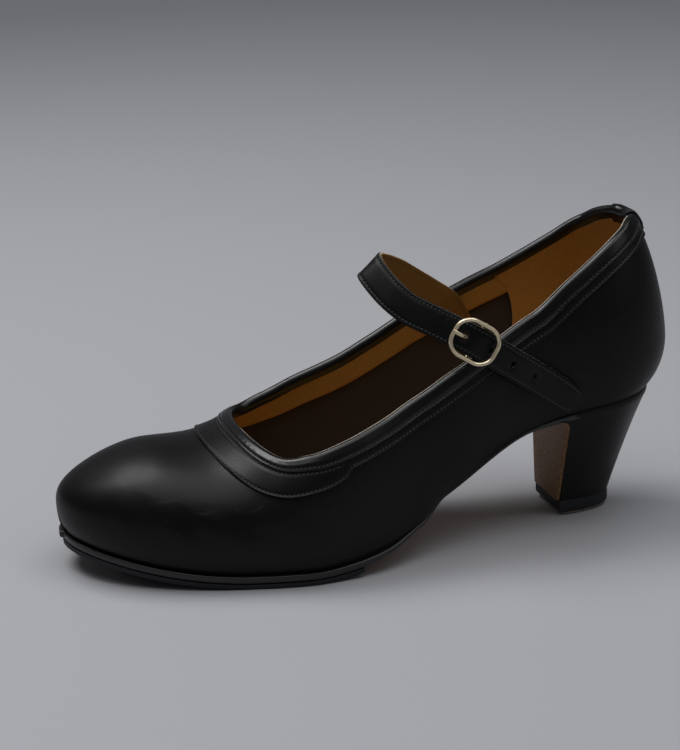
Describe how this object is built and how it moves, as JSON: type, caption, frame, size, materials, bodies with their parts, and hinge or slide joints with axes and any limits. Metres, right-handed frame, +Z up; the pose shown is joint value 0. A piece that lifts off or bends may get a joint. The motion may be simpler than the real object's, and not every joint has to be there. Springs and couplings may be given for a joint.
{
  "type": "flamenco shoe",
  "caption": "Black leather flamenco shoe with a covered flared heel, nailed toe and heel tip, ribbed rubber half sole, ochre lining and a buckled strap over the instep.",
  "frame": {"origin": "on the floor under the centre of the shoe's bounding box", "axes": "+X from the toe towards the heel, -Y towards the outer (buckle) side of a left foot, +Z up"},
  "size_m": [0.24, 0.088, 0.1209],
  "materials": {
    "black_leather": "smooth, semi-gloss, fine grain",
    "gloss_leather": "smooth, glossy, rolled",
    "lining_leather": "matte, ochre lining",
    "tan_leather": "waxed sole leather",
    "black_rubber": "matte, finely ribbed",
    "nail_steel": "dark, worn bright on the heads",
    "pale_gold": "polished, pale"
  },
  "bodies": {
    "root": {"upper": "black_leather", "collar_binding": "gloss_leather", "collar_facing": "black_leather", "throat_overlay": "black_leather", "back_tab": "gloss_leather", "insole": "lining_leather", "outsole": "tan_leather", "half_sole": "black_rubber", "toe_nails": "nail_steel", "heel_block": "black_leather", "breast_cover": "tan_leather", "heel_lift": "black_rubber", "heel_nails": "nail_steel", "strap": "black_leather", "buckle_frame": "pale_gold", "buckle_prong": "pale_gold", "buckle_tab": "black_leather"}
  },
  "joints": []
}
